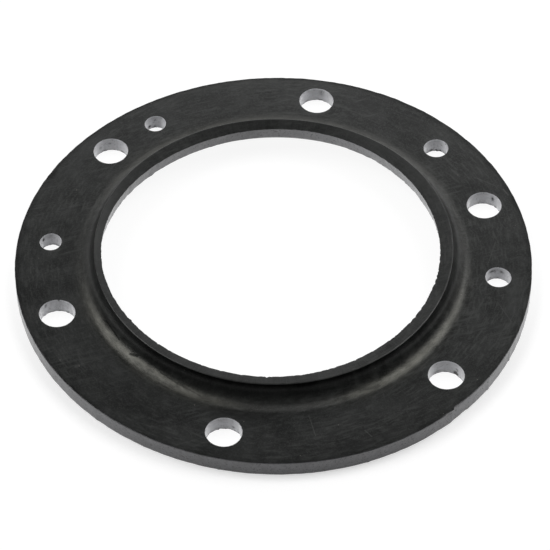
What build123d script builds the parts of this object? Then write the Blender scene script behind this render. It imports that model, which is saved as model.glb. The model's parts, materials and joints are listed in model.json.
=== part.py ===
from build123d import *
import os
from math import radians, sin, tan

# Rubber flange gasket: one ring of thick rubber sheet, formed up into a raised
# collar round its bore. Its flange has six bolt holes and four smaller holes,
# all on one pitch circle.
#
# Frame: millimetres, +Z up. The origin is the centre of the outer rim, on the
# underside of the flange. +X runs through the first bolt hole.

# Bore, cut after moulding and a little off the collar's centre
BORE_DIAMETER = 103.2
BORE_SHIFT_X = -0.8
BORE_SHIFT_Y = -0.4

# Collar round the bore
LIP_WIDTH = 3.65  # mean width of the flat on top of the collar
LIP_EDGE_RADIUS = 0.3
COLLAR_DRAFT = 7.0  # degrees that the collar's outside leans inwards
COVE_RADIUS = 6.4  # hollow curve from the flange up to the collar
LIP_BAND = 0.38  # height of the straight wall between the cove and the lip's face

# Hollow underneath the collar
LIP_THICKNESS = 4.8  # from the lip's face down to the hollow's ceiling
CEILING_SETBACK = 2.5  # from the collar's edge in to the ceiling's edge
CEILING_CORNER_RADIUS = 0.8

# Flange
FLANGE_THICKNESS = 5.4
HOLE_SETBACK = 14.75  # from the collar's edge out to the middle of each hole
EDGE_DISTANCE = 10.0  # from the middle of each hole out to the rim

# Holes through the flange
BOLT_HOLE_COUNT = 6
BOLT_HOLE_DIAMETER = 11.0
LARGE_SIDE_HOLE_DIAMETER = 8.0
SMALL_SIDE_HOLE_DIAMETER = 7.0
SIDE_HOLE_ANGLE = 24.4  # degrees round from the bolt hole beside it
CLOSE_HOLE_ANGLE = 15.0  # the same, for the one side hole that stands closer

OVERRUN = 5.0  # spare length of a cutter, and spare rubber that the bore removes

# The collar is as high as its cove and the band above it. From the bore outwards,
# each diameter follows the one inside it.
COLLAR_RISE = COVE_RADIUS * (1 - sin(radians(COLLAR_DRAFT))) + LIP_BAND
COLLAR_DIAMETER = BORE_DIAMETER + 2 * LIP_WIDTH
PITCH_DIAMETER = COLLAR_DIAMETER + 2 * HOLE_SETBACK
OUTER_DIAMETER = PITCH_DIAMETER + 2 * EDGE_DISTANCE


def round_corner(face, corner, radius):
    """The face with the corner nearest this point rounded off."""
    return fillet(face.vertices().sort_by_distance(corner)[0], radius)


def ring_section():
    """Half section of the ring before its holes are cut: radius, then height."""
    rim = OUTER_DIAMETER / 2
    collar = COLLAR_DIAMETER / 2
    core = BORE_DIAMETER / 2 - OVERRUN
    lip = FLANGE_THICKNESS + COLLAR_RISE
    ceiling = lip - LIP_THICKNESS
    ceiling_edge = collar - CEILING_SETBACK
    cove_corner = collar + COLLAR_RISE * tan(radians(COLLAR_DRAFT))
    cove_foot = cove_corner + COVE_RADIUS * tan(radians(90 - COLLAR_DRAFT) / 2)

    top = Polyline(
        (cove_foot, 0),
        (rim, 0),
        (rim, FLANGE_THICKNESS),
        (cove_corner, FLANGE_THICKNESS),
        (collar, lip),
        (core, lip),
        (core, ceiling),
        (ceiling_edge, ceiling),
    )
    # The underside bends up where the top side does, so the sheet keeps its thickness.
    bend = TangentArc((cove_foot, 0), (ceiling_edge, ceiling), tangent=(-1, 0))

    face = make_face(Curve() + [top, bend])
    face = round_corner(face, (cove_corner, FLANGE_THICKNESS), COVE_RADIUS)
    face = round_corner(face, (collar, lip), LIP_EDGE_RADIUS)
    return round_corner(face, (ceiling_edge, ceiling), CEILING_CORNER_RADIUS)


def hole(angle, diameter):
    """One round hole on the pitch circle, as a flat outline."""
    return Rot(0, 0, angle) * Pos(PITCH_DIAMETER / 2, 0, 0) * Circle(diameter / 2)


def flange_holes():
    """Cutters for the bolt holes and the side holes."""
    bolt_step = 360 / BOLT_HOLE_COUNT
    third = 2 * bolt_step
    opposite = 180
    outlines = [hole(index * bolt_step, BOLT_HOLE_DIAMETER) for index in range(BOLT_HOLE_COUNT)]
    outlines += [
        hole(-SIDE_HOLE_ANGLE, LARGE_SIDE_HOLE_DIAMETER),
        hole(SIDE_HOLE_ANGLE, LARGE_SIDE_HOLE_DIAMETER),
        hole(third - CLOSE_HOLE_ANGLE, SMALL_SIDE_HOLE_DIAMETER),
        hole(opposite - SIDE_HOLE_ANGLE, SMALL_SIDE_HOLE_DIAMETER),
    ]
    depth = FLANGE_THICKNESS + 2 * OVERRUN
    return [Pos(0, 0, -OVERRUN) * extrude(outline, depth) for outline in outlines]


def bore():
    """Cutter for the bore, from below the flange to above the lip."""
    depth = FLANGE_THICKNESS + COLLAR_RISE + 2 * OVERRUN
    outline = Pos(BORE_SHIFT_X, BORE_SHIFT_Y, -OVERRUN) * Circle(BORE_DIAMETER / 2)
    return extrude(outline, depth)


def flange_gasket():
    """The whole gasket, one solid."""
    ring = revolve(Plane.XZ * ring_section(), Axis.Z)
    gasket = ring - flange_holes() - bore()
    gasket.label = "flange_gasket"
    return gasket


os.makedirs("parts", exist_ok=True)
export_step(flange_gasket(), "parts/flange_gasket.step")
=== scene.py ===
import json
import math

import bpy
import numpy as np
from mathutils import Matrix, Quaternion, Vector
from mathutils.geometry import delaunay_2d_cdt


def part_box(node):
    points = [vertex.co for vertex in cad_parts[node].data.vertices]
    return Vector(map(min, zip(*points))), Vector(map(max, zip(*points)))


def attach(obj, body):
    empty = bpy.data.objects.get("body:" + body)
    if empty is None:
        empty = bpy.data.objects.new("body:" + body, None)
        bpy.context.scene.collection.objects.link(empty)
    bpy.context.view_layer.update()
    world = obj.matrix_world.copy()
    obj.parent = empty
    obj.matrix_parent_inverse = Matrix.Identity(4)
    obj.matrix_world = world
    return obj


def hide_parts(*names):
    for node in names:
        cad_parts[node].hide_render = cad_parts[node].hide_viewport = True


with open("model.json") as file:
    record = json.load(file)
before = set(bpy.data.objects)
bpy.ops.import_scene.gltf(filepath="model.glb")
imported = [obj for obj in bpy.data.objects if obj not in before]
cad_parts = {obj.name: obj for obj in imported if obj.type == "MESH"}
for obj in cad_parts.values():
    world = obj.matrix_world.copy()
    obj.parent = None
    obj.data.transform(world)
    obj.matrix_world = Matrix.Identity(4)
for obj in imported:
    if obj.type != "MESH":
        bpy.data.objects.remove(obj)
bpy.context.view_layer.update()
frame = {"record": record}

# Everything below is in metres in the CAD frame. Lengths are written in millimetres, times MM.
MM = 0.001
TINY = 1e-9
AROUND = 720  # vertices round each ring of the body
HOLE_STEPS = 96  # and round each ring of a punched hole
theta = np.arange(AROUND) * 2 * np.pi / AROUND
turn = np.arange(HOLE_STEPS) * 2 * np.pi / HOLE_STEPS
SEED = 11
VIEW_AZIMUTH = math.radians(17.84)  # how far round the part the camera stands
VIEW_TURN = Matrix.Rotation(-VIEW_AZIMUTH, 4, "Z")  # from the camera's side of the part to the CAD frame

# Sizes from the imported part
mounts = {m["name"]: m for m in frame["record"]["mounts"]}
low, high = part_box("flange_gasket")
FLOOR_Z = low.z
LIP_Z = high.z
RIM_R = (high.x - low.x) / 2
FLANGE_Z = low.z + mounts["bolt_hole_1"]["dims"]["length_mm"] * MM
CEILING_Z = LIP_Z - mounts["bore"]["dims"]["length_mm"] * MM
BORE_R = mounts["bore"]["dims"]["r_mm"] * MM
BORE_AT = complex(*mounts["bore"]["pos_m"][:2])

# The collar, as the CAD source forms it
COLLAR_R = 55.25 * MM
COLLAR_DRAFT = math.radians(7.0)
COVE_RADIUS = 6.4 * MM
LIP_EDGE_RADIUS = 0.3 * MM
CEILING_SETBACK = 2.5 * MM
BEND_SHARE = 0.93  # how much of the bend there is before its rounded corner with the ceiling begins
CEILING_LAP = 0.5 * MM  # how much further in than the whole bend that corner ends

# What the cutting leaves behind
BORE_FLARE = 0.8 * MM  # the bore opens out towards its lower edge
BORE_CLEARANCE = 0.45 * MM  # about the least width of ceiling that is left beside the bore
LIP_DISH = math.tan(math.radians(6.5))  # the lip's face falls a little towards the bore
TEAR_DROP = 0.35  # how far down a tear goes, against how far in
STEP_DEPTH = 0.75 * MM  # of the step in the rim
CUT_EDGE = 0.12 * MM  # worn edge of each cut
HOLE_WAIST = 0.12 * MM  # the punched holes are a little narrower half way down
HOLE_FLARE = 0.25 * MM  # and wider at the underside
PUNCH_DRIFT_LIMIT = 0.5 * MM

# Spacing of the vertices on the two flat faces
TOP_NET = 1.1 * MM
UNDER_NET = 2.4 * MM


def waves(*terms):
    """Slow unevenness round the ring: (times round, amount in mm, azimuth of its peak in degrees)."""
    total = np.zeros(AROUND)
    for times, amount, peak in terms:
        total += amount * MM * np.cos(times * (theta - math.radians(peak)))
    return total


def rough(first, last, amount, seed, fall=0.5):
    """Fine unevenness round the ring, from first to last waves round it."""
    random = np.random.RandomState(SEED + seed)
    total = np.zeros(AROUND)
    scale = 0.0
    for times in range(first, last + 1):
        weight = (first / times) ** fall
        total += weight * np.cos(times * theta + random.uniform(0, 2 * np.pi))
        scale += weight * weight / 2
    return total * amount * MM / math.sqrt(scale)


def off_from(azimuth, degrees):
    """Angles counted from an azimuth, from -180 to 180 degrees."""
    return (degrees - azimuth + 180) % 360 - 180


def away(azimuth):
    """How far each vertex of a ring is from this azimuth, in degrees."""
    return off_from(azimuth, np.degrees(theta))


def swell(azimuth, half_width, power=2):
    """1 at this azimuth of a ring, and falling to 0 on both sides."""
    return np.exp(-((away(azimuth) / half_width) ** power))


def hump(value, middle, half_width):
    """1 where a number is at the middle, and falling to 0 on both sides."""
    return math.exp(-(((value - middle) / half_width) ** 2))


rim_shift = waves((1, 0.30, -75), (2, 0.24, -39), (3, 0.39, 32))
lip_shift = waves((1, 0.12, 17), (2, 0.28, -20), (3, 0.19, 24))
bore_shift = waves((2, 0.56, -10), (3, 0.33, 37), (4, 0.19, -25))

# ---------------------------------------------------------------- profile


def rounded(before, corner, after, radius, steps):
    """Points of the arc that rounds off a corner, as (r, z)."""
    before, corner, after = (np.array(p, float) for p in (before, corner, after))
    a = (before - corner) / np.linalg.norm(before - corner)
    b = (after - corner) / np.linalg.norm(after - corner)
    half = math.acos(np.clip(a @ b, -1, 1)) / 2
    reach = radius / math.tan(half)
    middle = (a + b) / np.linalg.norm(a + b)
    centre = corner + middle * radius / math.sin(half)
    start, end = corner + a * reach - centre, corner + b * reach - centre
    sweep = math.acos(np.clip(start @ end / radius**2, -1, 1))
    points = []
    for t in np.linspace(0, 1, steps):
        points.append(centre + (math.sin((1 - t) * sweep) * start + math.sin(t * sweep) * end) / math.sin(sweep))
    return points


def between(a, b, steps):
    """Points strictly between two points."""
    a, b = np.array(a, float), np.array(b, float)
    return [a + (b - a) * t for t in np.linspace(0, 1, steps + 2)[1:-1]]


lip_inside = (BORE_R, LIP_Z)
lip_corner = (COLLAR_R, LIP_Z)
foot_corner = (COLLAR_R + (LIP_Z - FLANGE_Z) * math.tan(COLLAR_DRAFT), FLANGE_Z)
rim_corner = (RIM_R, FLANGE_Z)

lip_arc = rounded(lip_inside, lip_corner, foot_corner, LIP_EDGE_RADIUS, 6)
cove_arc = rounded(lip_corner, foot_corner, rim_corner, COVE_RADIUS, 26)
COVE_FOOT_R = cove_arc[-1][0]

# The underside bends up on one arc, tangent to the flange, from under the cove's foot.
CEILING_R = COLLAR_R - CEILING_SETBACK
rise, run = CEILING_Z - FLOOR_Z, COVE_FOOT_R - CEILING_R
bend_radius = (rise * rise + run * run) / (2 * rise)
bend_sweep = math.asin(run / bend_radius)
bend = [
    np.array((COVE_FOOT_R - bend_radius * math.sin(a), FLOOR_Z + bend_radius * (1 - math.cos(a))))
    for a in np.linspace(0, bend_sweep * BEND_SHARE, 14)
]

# ---------------------------------------------------------------- mesh

verts = []
worn_and_highlight = []  # how much each vertex is rubbed, and where it carries a painted highlight
pale = []  # how pale each vertex of a cut is, mostly painted light: 1 on the wall of a punched hole
steep = []  # how much shine and haze the skin lacks, and how much painted shade it has: 1 where the collar stands up
stain = []  # 1 where a cut is dark, in part painted shade under the tongue at the rim's step
faces = []
is_cut = []


def add_vertices(points, wear_and_highlight=0.0, paleness=0.0, dull_shade_level=0.0, darkness=0.0):
    """Vertices, with what the material has to know at each. Returns their indices."""
    start = len(verts)
    verts.extend(points)
    count = len(verts) - start
    for values, value in ((worn_and_highlight, wear_and_highlight), (pale, paleness), (steep, dull_shade_level), (stain, darkness)):
        values.extend(np.broadcast_to(value, count))
    return np.arange(start, start + count)


def add_ring(r, z, wear_and_highlight=0.0, paleness=0.0, dull_shade_level=0.0, darkness=0.0):
    """One ring of vertices; r and z may vary round it. Returns their indices."""
    r, z = np.broadcast_to(r, AROUND), np.broadcast_to(z, AROUND)
    return add_vertices(zip(r * np.cos(theta), r * np.sin(theta), z), wear_and_highlight, paleness, dull_shade_level, darkness)


def bands(rings, cut):
    """Quads between each ring and the next, which have as many vertices, facing left of the way from ring to ring."""
    for first, second in zip(rings, rings[1:]):
        n = len(first)
        for i in range(n):
            j = (i + 1) % n
            faces.append((first[i], first[j], second[j], second[i]))
            is_cut.append(cut)


def shift_at(r):
    """The slow unevenness of the formed surface at a radius."""
    at_foot = 0.45  # how much of the lip's unevenness is left at the cove's foot
    if r <= COVE_FOOT_R:
        share = np.clip((COVE_FOOT_R - r) / (COVE_FOOT_R - COLLAR_R), 0, 1)
        return lip_shift * (at_foot + (1 - at_foot) * share)
    share = (r - COVE_FOOT_R) / (RIM_R - COVE_FOOT_R)
    return lip_shift * at_foot * (1 - share) + rim_shift * share


# Bore: a round cut off the collar's centre, uneven by hand, torn along its top edge.
aside, along = abs(BORE_AT), math.atan2(BORE_AT.imag, BORE_AT.real)
bore_line = aside * np.cos(theta - along) + np.sqrt(BORE_R**2 - (aside * np.sin(theta - along)) ** 2)
bore_line = bore_line + bore_shift
small_tears = np.clip(rough(90, 330, 0.07, 1) - 0.03 * MM, 0, None)
long_tears = np.clip(rough(30, 110, 0.07, 2) - 0.09 * MM, 0, None)
tears = (small_tears + long_tears) * (1 + 0.9 * swell(-12, 38))  # worst on the right
bore_top_r = bore_line + rough(20, 150, 0.03, 3) + tears
bore_top_r = bore_top_r - 0.35 * MM * swell(-163.8, 0.5)  # a tab left by the knife
bore_top_r = bore_top_r + 0.25 * MM * swell(-110.4, 0.4)  # a nick
bore_low_r = bore_line + BORE_FLARE + rough(12, 120, 0.05, 4) + rough(90, 340, 0.03, 8)
bore_mid_r = bore_line + rough(12, 90, 0.03, 5)
lip_end_r = lip_arc[0][0] + lip_shift
dish = LIP_DISH * (lip_end_r - bore_top_r)
top_z = LIP_Z - dish - TEAR_DROP * tears

# the bore's wall is paler on the right, painted light where it faces the lamps, and a little darker at two places at
# the back
bore_pale = 0.10 + 0.18 * swell(28, 28) - 0.06 * swell(80, 12) - 0.04 * swell(133, 8)
bore_rings = []
for t in np.linspace(0, 1, 10):
    r = bore_mid_r + BORE_FLARE * t
    r = r + (bore_low_r - bore_mid_r - BORE_FLARE) * t**4
    r = r + (bore_top_r - bore_mid_r) * (1 - t) ** 3
    bore_rings.append(add_ring(r, top_z * (1 - t) + CEILING_Z * t, paleness=bore_pale))
bands(bore_rings, True)

# Skin: lip, collar wall and cove. The lip is lighter on two sides, and dull at the back, with painted shade.
lip_lightening = 4.6 * swell(154, 24) + 2.6 * swell(18, 30)
lip_dull_shade = 0.2 + 0.40 * swell(76, 30)
skin_rings = [bore_rings[0]]
for t in (0.08, 0.25, 0.5, 0.75, 0.92):
    r = bore_top_r * (1 - t) + lip_end_r * t
    z = LIP_Z - dish * (1 - t) - TEAR_DROP * tears * max(0.0, 1 - t * 6)
    skin_rings.append(add_ring(r, z, lip_lightening * (0.55 + 0.6 * t), dull_shade_level=lip_dull_shade))
for r, z in lip_arc:
    # the lip's rounded edge is rubbed, and lighter again on the front right as a painted highlight
    skin_rings.append(add_ring(r + shift_at(r), z, 1.0 + 1.8 * swell(-50, 26)))
for r, z in between(lip_arc[-1], cove_arc[0], 5):
    skin_rings.append(add_ring(r + shift_at(r), z, dull_shade_level=1.0))
# the cove has a painted highlight near its foot at the back, and higher up on the left; its front and one side are
# dull, with painted shade
front_cove_shade = 0.15 + 0.85 * swell(-108, 52, 4)
dull_shaded_side = 0.30 * swell(149, 17)
for index, (r, z) in enumerate(cove_arc):
    cove_highlight = 3.6 * swell(62, 34) * hump(index, 24, 2.0) + 3.2 * swell(-148, 18) * hump(index, 18, 1.8)
    cove_dull_shade = front_cove_shade * max(0.0, 1 - index / 14) + dull_shaded_side * min(1.0, (25 - index) / 6)
    skin_rings.append(add_ring(r + shift_at(r), z, cove_highlight, dull_shade_level=cove_dull_shade))
bands(skin_rings[::-1], False)
cove_foot = skin_rings[-1]

# Rim: a knife cut. Its two ends met in a step, with a tongue of skin left over it.


def knife_step(start, fade):
    """How far the cut lies inside the rim, past the azimuth where the knife stepped in."""
    past = away(start)
    return STEP_DEPTH * np.where(past > 0, (1 - np.exp(-np.clip(past, 0, None) / fade)) * np.exp(-past / 5.0), 0)


rim_line = RIM_R + rim_shift
rim_top_r = rim_line - knife_step(-66.4, 0.15) - 0.3 * MM * swell(-68.0, 0.5) + rough(30, 200, 0.03, 6)
rim_body_r = rim_line - knife_step(-68.7, 0.8)
rim_low_r = rim_line - 0.6 * knife_step(-67.4, 1.5) + rough(30, 160, 0.03, 7)
# nubs on the lower edge: (azimuth in degrees, how far out in mm)
for at_angle, size in ((-54.9, 0.3), (-61.8, 0.15), (-45.5, 0.25), (-88.0, 0.15), (-120.0, 0.15), (-150.0, 0.12)):
    rim_low_r = rim_low_r + size * MM * swell(at_angle, 0.35)

rim_pale = 0.01 + 0.17 * swell(-58, 14) + 0.07 * swell(-152, 24)  # paler at the front right and on the left: painted light where light falls across the rim
# painted shade on the cut under that tongue
shade_under_tongue = swell(-67.6, 1.1)
rim_skin = add_ring(rim_top_r - CUT_EDGE, FLANGE_Z, dull_shade_level=0.5)
rim_edge = add_ring(rim_top_r - CUT_EDGE * 0.3, FLANGE_Z - CUT_EDGE * 0.3, 0.0, rim_pale, darkness=0.8)
rim_rings = [rim_skin, rim_edge]
for t in (0.03, 0.07, 0.14, 0.25, 0.38, 0.5, 0.62, 0.74, 0.86, 0.97):
    r = rim_body_r * (1 - t) + rim_low_r * t + rough(20, 160, 0.015, 20 + int(t * 50))
    r = r + (rim_top_r - rim_body_r) * max(0.0, 1 - 6 * t)
    dark = max(0.0, 0.75 - 10 * t) + shade_under_tongue * hump(t, 0.0, 0.3)
    rim_rings.append(add_ring(r, FLANGE_Z * (1 - t) + FLOOR_Z * t, 0.0, rim_pale, darkness=dark))
rim_low = add_ring(rim_low_r - CUT_EDGE, FLOOR_Z, 0.0, rim_pale)
rim_rings.append(rim_low)
bands(rim_rings[::-1], True)

# Underside of the collar. Where the bore comes close to the hollow's edge, the edge gives way.
ceiling_end = CEILING_R - CEILING_LAP
crowding = bore_line + BORE_FLARE + BORE_CLEARANCE - (ceiling_end + lip_shift)
ease = 0.3 * MM  # how gently that sets in
push = 0.5 * (crowding + np.sqrt(crowding**2 + ease**2))
under_rings = []
for index, (r, z) in enumerate(bend):
    under_rings.append(add_ring(r + shift_at(r) + push * (index / (len(bend) - 1)) ** 2, z))
corner_r, corner_z = bend[-1]
for t in (0.35, 0.7, 1.0):
    r = corner_r * (1 - t) + ceiling_end * t
    z = corner_z + (CEILING_Z - corner_z) * math.sin(t * math.pi / 2)
    under_rings.append(add_ring(r + lip_shift + push, z))
under_rings.append(bore_rings[-1])
bands(under_rings[::-1], False)
under_foot = under_rings[0]

# Holes: where the record puts them, but drifted and out of round as punched by hand.
# (name, outward drift in mm, drift round the ring in degrees, how much narrower in mm)
drifts = [
    ("bolt_hole_1", -0.32, 0.87, 0.10),
    ("bolt_hole_2", 0.18, 0.58, 0.10),
    ("bolt_hole_3", -0.07, 0.10, 0.10),
    ("bolt_hole_4", -0.25, 0.08, 0.10),
    ("bolt_hole_5", -0.01, -0.84, 0.10),
    ("bolt_hole_6", -0.28, -0.89, 0.10),
    ("side_hole_1", -0.33, -0.37, 0.09),
    ("side_hole_2", 0.16, -0.45, 0.20),
    ("side_hole_3", -0.02, -0.10, 0.20),
    ("side_hole_4", -0.01, 0.06, 0.17),
]
# dark marks on their walls: (hole, degrees round it, how far down, half width in degrees, half height, how dark)
marks = [
    ("bolt_hole_1", 38, 0.38, 5, 0.17, 1.2),
    ("bolt_hole_1", 130, 0.83, 6, 0.09, 1.6),
    ("bolt_hole_2", 54, 0.32, 9, 0.30, 0.45),
    ("bolt_hole_3", 113, 0.52, 6, 0.09, 0.6),
    ("bolt_hole_3", 79, 0.39, 6, 0.08, 0.6),
    ("bolt_hole_4", 116, 0.20, 5, 0.12, 1.0),
    ("bolt_hole_5", 72, 0.97, 9, 0.07, 1.0),
    ("bolt_hole_5", 41, 0.67, 5, 0.10, 0.8),
    ("bolt_hole_6", 35, 0.85, 7, 0.16, 2.6),
    ("bolt_hole_6", 98, 0.80, 14, 0.12, 0.5),
    ("side_hole_1", 96, 0.24, 18, 0.09, 1.0),
    ("side_hole_1", 53, 0.32, 9, 0.10, 0.9),
    ("side_hole_2", 91, 0.88, 8, 0.09, 1.5),
    ("side_hole_2", 66, 0.93, 8, 0.08, 1.3),
    ("side_hole_2", 47, 0.92, 7, 0.08, 1.3),
    ("side_hole_3", 112, 0.74, 11, 0.11, 1.4),
    ("side_hole_3", 80, 0.90, 9, 0.08, 0.9),
    ("side_hole_4", 121, 0.26, 8, 0.12, 1.6),
]
# the walls of the punched holes are painted pale all round, and paler still where they face the camera's left and
# right: painted reflected light
wall_painted_light = 0.70 + 0.30 * np.cos(turn + VIEW_AZIMUTH) ** 2


def add_hole_ring(centre, r, z, wear_and_highlight, paleness, darkness=0.0):
    """One ring of vertices round a hole. Returns their indices."""
    points = zip(centre[0] + r * np.cos(turn), centre[1] + r * np.sin(turn), np.full(HOLE_STEPS, z))
    return add_vertices(points, wear_and_highlight, paleness, darkness=darkness)


holes = []  # (centre, radius, its ring on the flange, its ring on the underside)
for index, (name, outward, round_by, narrower) in enumerate(drifts):
    at = np.array(mounts[name]["pos_m"][:2])
    radius = (mounts[name]["dims"]["r_mm"] - narrower) * MM
    pitch = np.linalg.norm(at)
    out = at / pitch
    drift = out * outward * MM + np.array((-out[1], out[0])) * math.radians(round_by) * pitch
    drift = drift * min(1.0, PUNCH_DRIFT_LIMIT / max(np.linalg.norm(drift), TINY))
    centre = at + drift
    random = np.random.RandomState(SEED + 100 + index)
    phase = random.uniform(0, 2 * np.pi, 40)
    oval = 0.05 * MM * np.cos(2 * turn + phase[0]) + 0.03 * MM * np.cos(3 * turn + phase[1])
    fray = sum(np.cos(k * turn + phase[k]) for k in range(6, 30)) * 0.008 * MM
    torn = np.clip(sum(np.cos(k * turn + phase[39 - k]) for k in range(5, 18)) - 3.2, 0, None) * 0.08 * MM
    rings = []
    for t in np.linspace(0, 1, 13):
        waist = HOLE_WAIST * math.sin(math.pi * t)
        dark = np.zeros(HOLE_STEPS)
        for hole, at_angle, depth, half_width, half_height, strength in marks:
            if hole == name:
                off = off_from(at_angle, np.degrees(turn))
                dark = dark + strength * np.exp(-((off / half_width) ** 2) - ((t - depth) / half_height) ** 2)
        r = radius + oval - waist + HOLE_FLARE * t + fray * (0.4 + t) - torn * t**6
        z = FLANGE_Z * (1 - t) + FLOOR_Z * t
        if t == 0:
            rings.append(add_hole_ring(centre, r + CUT_EDGE, z, 0.7, wall_painted_light, dark))
            rings.append(add_hole_ring(centre, r, z - CUT_EDGE * 0.8, 0.6, 1.0))
        else:
            rings.append(add_hole_ring(centre, r, z, 0.0, wall_painted_light, dark))
    bands(rings, True)
    holes.append((centre, radius, rings[0], rings[-1]))


def encloses(ring, points):
    """Which of these points lie inside a ring of vertices, seen from above."""
    loop = np.array([verts[i][:2] for i in ring])
    x, y = points[:, 0], points[:, 1]
    odd = np.zeros(len(points), bool)
    for (ax, ay), (bx, by) in zip(loop, np.roll(loop, -1, 0)):
        crosses = (ay > y) != (by > y)
        if ay != by:
            odd ^= crosses & (x < ax + (bx - ax) * (y - ay) / (by - ay))
    return odd


def flat_face(outer, inner, hole_rings, spacing, z, up):
    """The flat ring between two rings of vertices, with holes, as triangles on an even net of points."""
    flat = [outer, inner, *hole_rings]
    ids = list(np.concatenate(flat))
    edges = []
    start = 0
    for ring in flat:
        n = len(ring)
        edges.extend((start + i, start + (i + 1) % n) for i in range(n))
        start += n
    points = [Vector(verts[i][:2]) for i in ids]
    inner_r = max(np.hypot(*verts[i][:2]) for i in inner)
    outer_r = min(np.hypot(*verts[i][:2]) for i in outer)
    rows = int((outer_r - inner_r) / spacing)
    keep_off = 0.7 * spacing  # from the edge of a hole
    for row in range(1, rows):
        r = inner_r + (outer_r - inner_r) * row / rows
        count = int(2 * math.pi * r / spacing)
        for k in range(count):
            a = 2 * math.pi * (k + 0.5 * (row % 2)) / count
            x, y = r * math.cos(a), r * math.sin(a)
            if all(math.hypot(x - c[0], y - c[1]) > radius + keep_off for c, radius, _, _ in holes):
                points.append(Vector((x, y)))
                ids.append(None)
    out_verts, _, out_faces, origin, _, _ = delaunay_2d_cdt(points, edges, [], 0, TINY)
    index = []
    inner_points = []
    for k, source in enumerate(origin):
        known = [ids[s] for s in source if ids[s] is not None]
        if known:
            index.append(known[0])
        else:
            index.append(len(verts) + len(inner_points))
            inner_points.append((out_verts[k].x, out_verts[k].y, z))
    add_vertices(inner_points)
    corners = np.array([[verts[index[i]][:2] for i in face] for face in out_faces])
    middles = corners.mean(1)
    keep = encloses(outer, middles) & ~encloses(inner, middles)
    for ring in hole_rings:
        keep &= ~encloses(ring, middles)
    for face, (a, b, c), kept in zip(out_faces, corners, keep):
        if not kept:
            continue
        loop = [index[i] for i in face]
        if ((b[0] - a[0]) * (c[1] - a[1]) - (b[1] - a[1]) * (c[0] - a[0]) > 0) != up:
            loop.reverse()
        faces.append(tuple(loop))
        is_cut.append(False)


flat_face(rim_skin, cove_foot, [h[2] for h in holes], TOP_NET, FLANGE_Z, True)
flat_face(rim_low, under_foot, [h[3] for h in holes], UNDER_NET, FLOOR_Z, False)

co = np.array(verts, float)
mesh = bpy.data.meshes.new("gasket_rubber")
mesh.from_pydata([tuple(v) for v in co], [], faces)
mesh.validate()
mesh.update()

# ---------------------------------------------------------------- what the material reads from the mesh

azimuth = np.degrees(np.arctan2(co[:, 1], co[:, 0]))
radial = np.hypot(co[:, 0], co[:, 1])
on_top = co[:, 2] > FLANGE_Z - 0.01 * MM

# a position in which one step round the ring counts as much less than one across it
ROUND_SHARE = 0.014
around_x, around_y = co[:, 0] / radial, co[:, 1] / radial
drag = np.stack([ROUND_SHARE * around_x, ROUND_SHARE * around_y, radial + 0.6 * co[:, 2]], 1)

# dust in the cove, thickest a little above its foot, and heavier on the left and lighter at the sides to paint the
# cove's highlight brighter or dimmer: (azimuth in degrees, how much lies there)
DUST_R, DUST_WIDTH = COVE_FOOT_R - 2.2 * MM, 2.4 * MM
lying = [
    (-180, 1.0), (-165, 1.35), (-150, 1.6), (-138, 1.6), (-124, 1.1), (-114, 0.5), (-105, 0.25), (-92, 0.5),
    (-80, 1.5), (-48, 1.0), (-33, 0.8), (-18, 0.3), (0, 0.3), (30, 0.7), (55, 1.1), (90, 1.3), (118, 1.0),
    (145, 0.3), (160, 0.35), (180, 1.0),
]  # fmt: skip
dust = np.exp(-(((radial - DUST_R) / DUST_WIDTH) ** 2)) * on_top * np.interp(azimuth, *zip(*lying))

# patches of haze on the flange: (azimuth in degrees, radius, half width in degrees, half height, how light)
patches = [
    (330, 75.5, 6, 4.0, 0.9), (272, 66.0, 14, 4.0, 0.6), (205, 64.0, 8, 2.5, 0.8), (82, 78.0, 25, 2.0, 0.4),
    (317, 66.0, 10, 4.0, 0.35), (7, 70.0, 6, 5.0, -0.6), (48, 73.0, 6, 4.0, -0.8), (34, 74.0, 4, 3.0, -0.7),
    (34, 66.5, 6, 1.5, -0.6), (244, 62.8, 12, 1.6, -1.0), (272, 77.0, 10, 2.0, -0.8), (154, 65.0, 10, 3.0, -0.5),
    (347, 65.0, 8, 1.5, -0.4), (17, 65.0, 14, 1.2, -0.5), (222, 72.0, 10, 6.0, -0.3), (112, 67.0, 12, 3.0, -0.4),
    (72, 77.0, 3, 3.0, 0.9), (122, 76.0, 4, 3.0, 0.7), (87, 70.0, 5, 3.0, -0.6), (100, 76.0, 3, 2.0, 0.6),
    (42, 70.0, 2.5, 4.0, 0.8), (79, 65.0, 4, 2.0, -0.7), (112, 71.0, 3, 3.0, -0.6), (24, 77.0, 3, 2.5, 0.6),
]  # fmt: skip
haze = np.zeros(len(co))
for at_angle, at_r, half_angle, half_r, strength in patches:
    off = off_from(at_angle, azimuth)
    haze += strength * np.exp(-((off / half_angle) ** 2) - ((radial / MM - at_r) / half_r) ** 2)
haze *= on_top

for name, kind, domain, key, values in (
    ("cut", "FLOAT", "FACE", "value", np.array(is_cut, float)),
    ("rub", "FLOAT", "POINT", "value", np.array(worn_and_highlight, float)),
    ("pale", "FLOAT", "POINT", "value", np.array(pale, float)),
    ("steep", "FLOAT", "POINT", "value", np.array(steep, float)),
    ("stain", "FLOAT", "POINT", "value", np.array(stain, float)),
    ("grain", "FLOAT_VECTOR", "POINT", "vector", drag.ravel()),
    ("haze", "FLOAT", "POINT", "value", haze),
    ("dust", "FLOAT", "POINT", "value", dust),
):
    mesh.attributes.new(name, kind, domain).data.foreach_set(key, values)

# Smooth, with a hard edge where a cut meets the skin
mesh.polygons.foreach_set("use_smooth", np.ones(len(mesh.polygons), bool))
kinds = {}
for poly, flag in zip(mesh.polygons, is_cut):
    for key in poly.edge_keys:
        kinds.setdefault(key, set()).add(flag)
for edge in mesh.edges:
    edge.use_edge_sharp = len(kinds.get(edge.key, ())) > 1
gasket = bpy.data.objects.new("gasket", mesh)
bpy.context.scene.collection.objects.link(gasket)

# ---------------------------------------------------------------- material


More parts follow.
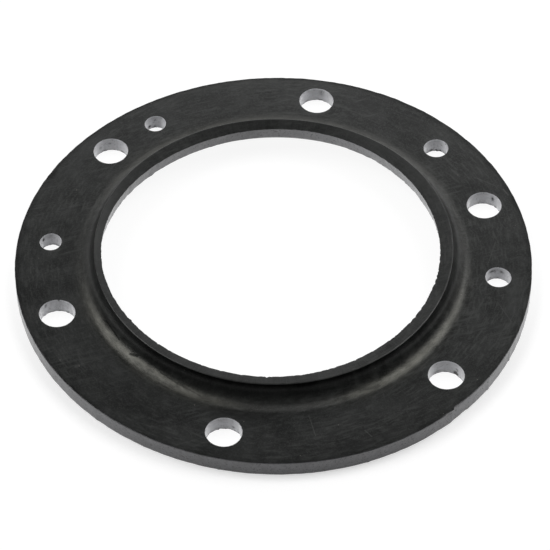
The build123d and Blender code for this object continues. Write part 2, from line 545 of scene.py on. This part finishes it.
class Nodes:
    """Short hand for building a node tree. Each value may be a number, a colour, a vector or another node's output."""

    def __init__(self, tree):
        self.tree = tree
        tree.nodes.clear()

    def feed(self, socket, value):
        if isinstance(value, bpy.types.NodeSocket):
            self.tree.links.new(value, socket)
        elif socket.type == "RGBA":
            socket.default_value = (*value[:3], 1.0)
        else:
            socket.default_value = value

    def add(self, kind, inputs=None, **settings):
        node = self.tree.nodes.new(kind)
        for key, value in settings.items():
            setattr(node, key, value)
        for key, value in (inputs or {}).items():
            self.feed(node.inputs[key], value)
        return node

    def attribute(self, name, output="Fac"):
        return self.add("ShaderNodeAttribute", attribute_name=name).outputs[output]

    def noise(self, vector, scale, detail=4.0, roughness=0.55, distortion=0.0):
        inputs = {"Vector": vector, "Scale": scale, "Detail": detail, "Roughness": roughness, "Distortion": distortion}
        return self.add("ShaderNodeTexNoise", inputs).outputs["Fac"]

    def ramp(self, value, start, end, low=0.0, high=1.0):
        inputs = {"Value": value, "From Min": start, "From Max": end, "To Min": low, "To Max": high}
        return self.add("ShaderNodeMapRange", inputs).outputs["Result"]

    def math(self, operation, first, *others):
        """The operation on the first value and the second, on that and the third, and so on."""
        for other in others:
            first = self.add("ShaderNodeMath", {0: first, 1: other}, operation=operation).outputs[0]
        return first

    def times(self, *values):
        return self.math("MULTIPLY", *values)

    def plus(self, *values):
        return self.math("ADD", *values)

    def minus(self, a, b):
        return self.math("SUBTRACT", a, b)

    def most(self, *values):
        return self.math("MAXIMUM", *values)

    def vector(self, operation, *values):
        """A vector operation; gives a number where the operation does."""
        node = self.add("ShaderNodeVectorMath", dict(enumerate(values)), operation=operation)
        return node.outputs["Value" if operation in ("LENGTH", "DISTANCE", "DOT_PRODUCT") else "Vector"]

    def weighted(self, kind, label, share, a, b):
        """A Mix node of one kind of value, whose sockets carry this label."""
        node = self.add("ShaderNodeMix", data_type=kind)
        sockets = {socket.identifier: socket for socket in node.inputs}
        for name, value in (("Factor_Float", share), ("A_" + label, a), ("B_" + label, b)):
            self.feed(sockets[name], value)
        return next(socket for socket in node.outputs if socket.identifier == "Result_" + label)

    def blend(self, share, a, b):
        """Colour a where share is 0, b where it is 1."""
        return self.weighted("RGBA", "Color", share, a, b)

    def mix(self, share, a, b):
        """Number a where share is 0, b where it is 1."""
        return self.weighted("FLOAT", "Float", share, a, b)


rubber = bpy.data.materials.new("black_rubber")
rubber.use_nodes = True
n = Nodes(rubber.node_tree)
place = n.add("ShaderNodeTexCoord").outputs["Object"]
grain_at = n.attribute("grain", "Vector")
is_cut_here = n.attribute("cut")
rub_and_highlight_here = n.attribute("rub")
dust_and_highlight_here = n.attribute("dust")
pale_here = n.attribute("pale")
dull_shade_here = n.attribute("steep")
cut_dark_here = n.attribute("stain")
haze_here = n.attribute("haze")

cloud = n.noise(place, 120.0, 6.0, 0.62)
mottle = n.noise(place, 420.0, 5.0, 0.7)
fine = n.noise(place, 2300.0, 2.0, 0.6)
streak = n.noise(grain_at, 1300.0, 3.0, 0.6)
wide_streak = n.noise(grain_at, 240.0, 5.0, 0.65)
# one side of the ring has been handled more than the other
HANDLED_AT = math.radians(27)
handled_side = n.vector("DOT_PRODUCT", place, (math.cos(HANDLED_AT), math.sin(HANDLED_AT), 0))
handled = n.ramp(handled_side, -70 * MM, 70 * MM, 0.95, 1.55)
busy = n.times(handled, n.ramp(n.noise(place, 48.0, 3.0, 0.5), 0.38, 0.62, 0.45, 1.2))

# Moulded skin: black, with a faint haze that is wiped round the ring
skin_colour = n.blend(n.ramp(cloud, 0.36, 0.66), (0.0029, 0.0034, 0.0032), (0.0090, 0.0099, 0.0094))
grey_grains = n.times(n.ramp(fine, 0.48, 0.70), 0.72, handled)
skin_colour = n.blend(grey_grains, skin_colour, (0.028, 0.0295, 0.028))
wide_wipes = n.times(n.ramp(wide_streak, 0.44, 0.66), 0.34, busy)
skin_colour = n.blend(wide_wipes, skin_colour, (0.019, 0.0203, 0.0194))
narrow_wipes = n.times(n.ramp(streak, 0.50, 0.66), 0.50, busy)
skin_colour = n.blend(narrow_wipes, skin_colour, (0.036, 0.0378, 0.036))
# the patches of haze, broken up
broken = n.times(haze_here, n.ramp(n.noise(place, 350.0, 4.0, 0.7), 0.35, 0.65, 0.3, 1.2))
skin_colour = n.blend(n.ramp(broken, 0.0, 1.0, 0.0, 0.6), skin_colour, (0.024, 0.0254, 0.0244))
skin_colour = n.blend(n.ramp(broken, 0.0, -1.0, 0.0, 0.7), skin_colour, (0.0020, 0.0022, 0.0022))
# strokes of wiping, in two directions, each on part of the surface
for turned, seed, where in ((0.55, 3.0, 55.0), (-0.95, 7.0, 70.0)):
    stretched = {"Vector": place, "Location": (seed, 0, 0), "Rotation": (0, 0, turned), "Scale": (0.12, 1, 1)}
    lie = n.add("ShaderNodeMapping", stretched).outputs[0]
    wiped = n.ramp(n.noise(lie, 1000.0, 2.0, 0.6), 0.54, 0.70)
    patch = n.times(n.ramp(n.noise(place, where, 2.0, 0.5), 0.47, 0.60), 0.55)
    skin_colour = n.blend(n.times(wiped, patch, handled), skin_colour, (0.034, 0.0358, 0.0342))
# saw marks across the lip
level = n.vector("MULTIPLY", place, (1, 1, 0))
sawn = n.ramp(n.noise(n.vector("NORMALIZE", level), 170.0, 3.0, 0.6), 0.42, 0.66)
on_lip = n.ramp(n.vector("LENGTH", level), COLLAR_R, COLLAR_R - 0.4 * MM)
skin_colour = n.blend(n.times(sawn, on_lip, 0.5), skin_colour, (0.034, 0.0345, 0.034))
# hair lines, where a stretched noise passes its middle, on part of the surface
bent = n.vector("ADD", place, (0.3, 0.7, 0.0))
crossing = n.math("ABSOLUTE", n.minus(n.noise(bent, 95.0, 1.0, 0.4, 0.6), 0.5), 0.0)
hair = n.times(n.ramp(crossing, 0.0, 0.0035, 1.0, 0.0), n.ramp(n.noise(place, 150.0, 2.0, 0.5), 0.60, 0.64))
skin_colour = n.blend(n.times(hair, n.minus(0.45, dull_shade_here)), skin_colour, (0.070, 0.072, 0.069))


def scratch(start, end, half_width):
    """1 on a straight scratch on the upper face, fading to 0 beside it. Each end is a radius in mm and an azimuth."""
    a, b = (Vector((r * math.cos(math.radians(at)), r * math.sin(math.radians(at)), 0)) * MM for r, at in (start, end))
    from_start = n.vector("SUBTRACT", level, a)
    share = n.ramp(n.vector("DOT_PRODUCT", from_start, (b - a) / (b - a).length_squared), 0.0, 1.0)
    nearest = n.add("ShaderNodeVectorMath", {0: b - a, "Scale": share}, operation="SCALE").outputs[0]
    gap = n.vector("DISTANCE", from_start, nearest)
    return n.ramp(gap, 0.3 * half_width * MM, half_width * MM, 1.0, 0.0)


# single scratches: (one end, the other end, half width in mm, how light)
for start, end, half_width, strength in (
    ((78.2, 3.7), (78.7, 1.6), 0.28, 0.55),
    ((63.3, -98.7), (71.1, -98.2), 0.22, 0.30),
    ((73.1, -86.6), (76.1, -85.8), 0.22, 0.32),
    ((56.4, 151.4), (58.6, 150.6), 0.25, 0.45),
    ((72.5, 10.0), (76.5, 5.5), 0.20, 0.28),
    ((66.5, -20.0), (69.5, -12.5), 0.20, 0.22),
    ((77.0, -38.0), (71.5, -33.5), 0.20, 0.22),
):
    skin_colour = n.blend(n.times(scratch(start, end, half_width), strength), skin_colour, (0.085, 0.087, 0.083))
# two dark gouges in the cove on the left, and beside them a fainter groove in two parts
gouges = n.most(scratch((58.2, 203.7), (57.4, 206.2), 0.5), scratch((57.6, 197.5), (57.4, 189.0), 0.3))
groove = n.most(scratch((57.6, 215.5), (58.2, 222.5), 0.28), scratch((58.2, 222.0), (59.1, 230.0), 0.28))
gouges = n.most(gouges, n.times(groove, 0.55))
# specks of dust
cells = n.add("ShaderNodeTexVoronoi", {"Vector": place, "Scale": 420.0, "Randomness": 1.0})
chosen_cell = n.add("ShaderNodeSeparateColor", {"Color": cells.outputs["Color"]}).outputs[0]
speckle = n.times(n.ramp(cells.outputs["Distance"], 0.05, 0.09, 1.0, 0.0), n.ramp(chosen_cell, 0.93, 0.95))
skin_colour = n.blend(n.times(speckle, 0.8), skin_colour, (0.14, 0.135, 0.12))
# dust in the cove, partly a painted highlight, then the painted shade of the upright wall, then what is rubbed, partly
# a painted highlight
dust_and_highlight_colour = n.times(dust_and_highlight_here, n.ramp(wide_streak, 0.45, 0.7), 0.6)
skin_colour = n.blend(dust_and_highlight_colour, skin_colour, (0.030, 0.0295, 0.0265))
skin_colour = n.blend(n.times(dull_shade_here, 0.75), skin_colour, (0.0025, 0.0026, 0.0025))
skin_colour = n.blend(n.times(rub_and_highlight_here, 0.2), skin_colour, (0.04, 0.041, 0.04))

skin_rough = n.plus(n.ramp(cloud, 0.35, 0.65, 0.275, 0.30), n.ramp(streak, 0.5, 0.7, 0.0, 0.03))
skin_rough = n.plus(skin_rough, n.plus(n.times(dull_shade_here, 0.08), n.times(dust_and_highlight_here, 0.03)))
smear = n.ramp(n.noise(grain_at, 800.0, 6.0, 0.75, 0.3), 0.36, 0.64, -0.14, 0.16)
skin_shine = n.plus(n.ramp(cloud, 0.35, 0.65, 0.415, 0.515), n.ramp(broken, -1.0, 1.0, -0.07, 0.05))
skin_shine = n.plus(skin_shine, n.times(smear, n.plus(dust_and_highlight_here, 0.15)))
skin_shine = n.most(n.minus(skin_shine, n.times(dull_shade_here, 0.42)), 0.04)
skin_shine = n.times(skin_shine, n.minus(1.0, n.times(gouges, 0.8)))

# Cut face: dark grey at the rim and the bore, and pale on the walls of the punched holes, where the pale colour is
# painted light standing in for the bright floor they reflect
cut_grey = n.blend(n.ramp(n.noise(place, 330.0, 4.0, 0.6), 0.3, 0.7), (0.055, 0.055, 0.060), (0.092, 0.092, 0.100))
pale_painted_light = n.blend(n.ramp(n.noise(place, 420.0, 3.0, 0.6), 0.3, 0.7), (0.64, 0.643, 0.665), (0.78, 0.785, 0.81))
cut_colour = n.blend(pale_here, cut_grey, pale_painted_light)
speck = n.ramp(n.noise(place, 700.0, 2.0, 0.5), 0.66, 0.72)
cut_colour = n.blend(n.times(speck, 0.6), cut_colour, (0.02, 0.02, 0.02))
crumbs = n.times(n.ramp(n.noise(place, 1400.0, 3.0, 0.7), 0.44, 0.36), n.ramp(pale_here, 0.3, 0.9, 0.55, 0.12))
cut_colour = n.blend(crumbs, cut_colour, (0.015, 0.015, 0.016))
# a ragged dark line along the underside's edge, painted contact shade where the cut meets the floor, and the single
# marks
height_here = n.add("ShaderNodeSeparateXYZ", {0: place}).outputs["Z"]
low_down = n.ramp(height_here, FLOOR_Z + 1.1 * MM, FLOOR_Z + 0.2 * MM)
ragged_contact_shade = n.times(low_down, n.ramp(n.noise(place, 800.0, 2.0, 0.5), 0.48, 0.56))
dark_patch = n.times(cut_dark_here, n.ramp(n.noise(place, 1500.0, 2.0, 0.6), 0.28, 0.45, 0.3, 1.0))
dark_here = n.most(n.times(ragged_contact_shade, n.ramp(pale_here, 0.3, 1.0, 0.15, 0.8)), dark_patch)
dark_here = n.times(is_cut_here, n.ramp(dark_here, 0.0, 1.0))
cut_colour = n.blend(dark_here, cut_colour, (0.015, 0.015, 0.016))
cut_colour = n.blend(n.times(rub_and_highlight_here, n.ramp(pale_here, 0.3, 0.7, 0.6, 0.0)), cut_colour, (0.15, 0.15, 0.155))
cut_rough = n.ramp(mottle, 0.3, 0.7, 0.20, 0.26)
cut_shine = n.minus(n.ramp(pale_here, 0.3, 1.0, 0.75, 0.55), n.times(dark_here, 0.4))

height = n.plus(n.times(fine, 0.35), n.times(mottle, 0.65), n.times(streak, 0.3))
bump = n.add("ShaderNodeBump", {"Strength": 0.35, "Distance": 0.06 * MM, "Height": height})
surface = n.add(
    "ShaderNodeBsdfPrincipled",
    {
        "Base Color": n.blend(is_cut_here, skin_colour, cut_colour),
        "Roughness": n.mix(is_cut_here, skin_rough, cut_rough),
        "Specular IOR Level": n.mix(is_cut_here, skin_shine, cut_shine),
        "Specular Tint": n.blend(n.times(dust_and_highlight_here, 0.9), (1.0, 1.0, 1.0), (1.0, 0.985, 0.88)),
        "Sheen Weight": n.times(n.minus(is_cut_here, dark_here), n.ramp(pale_here, 0.4, 0.75, 0.0, 1.0)),
        "Sheen Roughness": 0.35,
        "Normal": bump.outputs[0],
    },
)
n.add("ShaderNodeOutputMaterial", {"Surface": surface.outputs[0]})
mesh.materials.append(rubber)

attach(gasket, "root")
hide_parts("flange_gasket")

# ---------------------------------------------------------------- stage

PAPER_HALF = 3.0
PAPER_GAP = 0.02 * MM  # under the part, so that the two faces don't flicker
PANEL_LIFT = 10 * MM  # of the lower edge of each panel
WHITE = (1.0, 1.0, 1.0)

floor_mesh = bpy.data.meshes.new("floor")
paper_corners = [(x * PAPER_HALF, y * PAPER_HALF, 0) for x, y in ((-1, -1), (1, -1), (1, 1), (-1, 1))]
floor_mesh.from_pydata(paper_corners, [], [(0, 1, 2, 3)])
floor = bpy.data.objects.new("floor", floor_mesh)
floor.location = (0, 0, FLOOR_Z - PAPER_GAP)
bpy.context.scene.collection.objects.link(floor)

paper = bpy.data.materials.new("paper")
paper.use_nodes = True
n = Nodes(paper.node_tree)
path = n.add("ShaderNodeLightPath")
on_paper = n.add("ShaderNodeTexCoord").outputs["Object"]
from_middle = n.vector("LENGTH", on_paper)
in_front = n.vector("DOT_PRODUCT", on_paper, VIEW_TURN @ Vector((0, -1, 0)))
# The paper is white to the eye: one part of that is lit by the lamps and takes the shadow, the other glows.
# The lit part is larger in front of the part, where the shadow is deeper, and small far off.
before_it = n.times(n.ramp(from_middle, RIM_R - 6 * MM, RIM_R - 2 * MM), n.ramp(in_front, -5 * MM, 45 * MM))
far_off = n.ramp(from_middle, 0.12, 0.26)
lit = n.mix(far_off, n.mix(before_it, 0.14, 0.59), 0.08)
glowing = n.mix(far_off, n.mix(before_it, 0.91, 0.54), 0.95)
shaded = n.add("ShaderNodeBsdfDiffuse", {"Color": lit})
glow = n.add("ShaderNodeEmission", {"Color": WHITE, "Strength": glowing})
seen = n.add("ShaderNodeAddShader", {0: shaded.outputs[0], 1: glow.outputs[0]})
plain = n.add("ShaderNodeBsdfDiffuse", {"Color": (0.86, 0.86, 0.86)})
looked_at = n.most(path.outputs["Is Camera Ray"], path.outputs["Is Glossy Ray"], path.outputs["Is Transmission Ray"])
chosen = n.add("ShaderNodeMixShader", {"Fac": looked_at, 1: plain.outputs[0], 2: seen.outputs[0]})
n.add("ShaderNodeOutputMaterial", {"Surface": chosen.outputs[0]})
floor_mesh.materials.append(paper)


def area_lamp(name, width, height, radiance):
    """A rectangular lamp of this radiance, which the camera doesn't see."""
    lamp = bpy.data.lights.new(name, "AREA")
    lamp.shape = "RECTANGLE"
    lamp.size, lamp.size_y = width, height
    lamp.energy = radiance * math.pi * width * height
    obj = bpy.data.objects.new(name, lamp)
    obj.visible_camera = False
    bpy.context.scene.collection.objects.link(obj)
    return obj


def softbox(name, direction, distance, width, height, radiance, roll=0.0):
    """A lamp that faces the part, seen from the part in this direction of the view's frame."""
    obj = area_lamp(name, width, height, radiance)
    way = (VIEW_TURN @ Vector(direction)).normalized()
    obj.location = way * distance
    obj.rotation_euler = (way.to_track_quat("Z", "Y") @ Quaternion((0, 0, 1), math.radians(roll))).to_euler()


def panel(name, aside, width, height, behind, radiance):
    """An upright lamp that stands on the floor behind the part and shines towards the camera."""
    obj = area_lamp(name, width, height, radiance)
    stand_at = Matrix.Translation((aside, behind, height / 2 + PANEL_LIFT))
    obj.matrix_world = VIEW_TURN @ stand_at @ Matrix.Rotation(math.radians(-90), 4, "X")


# One big softbox on each hand, a dim one overhead, and a row of low panels behind the part
softbox("softbox_left", (-0.60, 0.115, 0.80), 1.2, 0.76, 0.70, 4.1, roll=11)
softbox("softbox_right", (0.57, 0.26, 0.83), 1.2, 0.74, 0.76, 3.9)
softbox("softbox_top", (0.0, 0.12, 0.99), 1.4, 0.9, 0.9, 0.6)
panel("panel_left", -0.18, 0.36, 0.53, 0.55, 0.89)
panel("panel_right", 0.18, 0.36, 0.53, 0.55, 1.05)
panel("wing_left", -0.73, 0.74, 0.60, 0.55, 0.5)
panel("wing_right", 0.73, 0.74, 0.60, 0.55, 0.5)

world = bpy.data.worlds.new("studio")
bpy.context.scene.world = world
world.use_nodes = True
n = Nodes(world.node_tree)
room = n.add("ShaderNodeBackground", {"Color": WHITE, "Strength": 0.05})
white = n.add("ShaderNodeBackground", {"Color": WHITE, "Strength": 1.0})
path = n.add("ShaderNodeLightPath")
# the white wall goes up a little way behind the floor; above it the room is dim in a reflection
upward = n.add("ShaderNodeSeparateXYZ", {0: n.add("ShaderNodeTexCoord").outputs["Generated"]}).outputs["Z"]
mirrored = n.most(path.outputs["Is Glossy Ray"], path.outputs["Is Transmission Ray"])
mirrored = n.times(mirrored, n.ramp(upward, 0.0, 0.06, 1.0, 0.0))
looked_at = n.most(path.outputs["Is Camera Ray"], mirrored)
chosen = n.add("ShaderNodeMixShader", {"Fac": looked_at, 1: room.outputs[0], 2: white.outputs[0]})
n.add("ShaderNodeOutputWorld", {"Surface": chosen.outputs[0]})

# ---------------------------------------------------------------- camera

ELEVATION = math.radians(48.677)
ROLL = math.radians(-0.502)
DISTANCE = 11.979 * RIM_R  # from the middle of the flange's upper face
ASIDE = -0.0046 * RIM_R  # how far that middle lies to the right of the picture's, and below it
BELOW = -0.0623 * RIM_R
LENS_IN_WIDTHS = 3087.8 / 550  # focal length, in widths of the picture
SENSOR_WIDTH = 36.0

forward = Vector((0, math.cos(ELEVATION), -math.sin(ELEVATION)))
right = Vector((1, 0, 0))
down = Vector((0, -math.sin(ELEVATION), -math.cos(ELEVATION)))
turned_right = right * math.cos(ROLL) - down * math.sin(ROLL)
turned_down = right * math.sin(ROLL) + down * math.cos(ROLL)
position = -(turned_right * ASIDE + turned_down * BELOW + forward * DISTANCE)

camera_data = bpy.data.cameras.new("camera")
camera_data.sensor_width = SENSOR_WIDTH
camera_data.lens = SENSOR_WIDTH * LENS_IN_WIDTHS
camera_data.clip_start = 0.01
camera_data.clip_end = 50.0
camera = bpy.data.objects.new("camera", camera_data)
axes = Matrix((turned_right, -turned_down, -forward)).transposed().to_4x4()
stand = Matrix.Translation(Vector((0, 0, FLANGE_Z))) @ VIEW_TURN @ Matrix.Translation(position) @ axes
camera.matrix_world = stand
bpy.context.scene.collection.objects.link(camera)
bpy.context.scene.camera = camera

bpy.context.scene.view_settings.view_transform = "Standard"
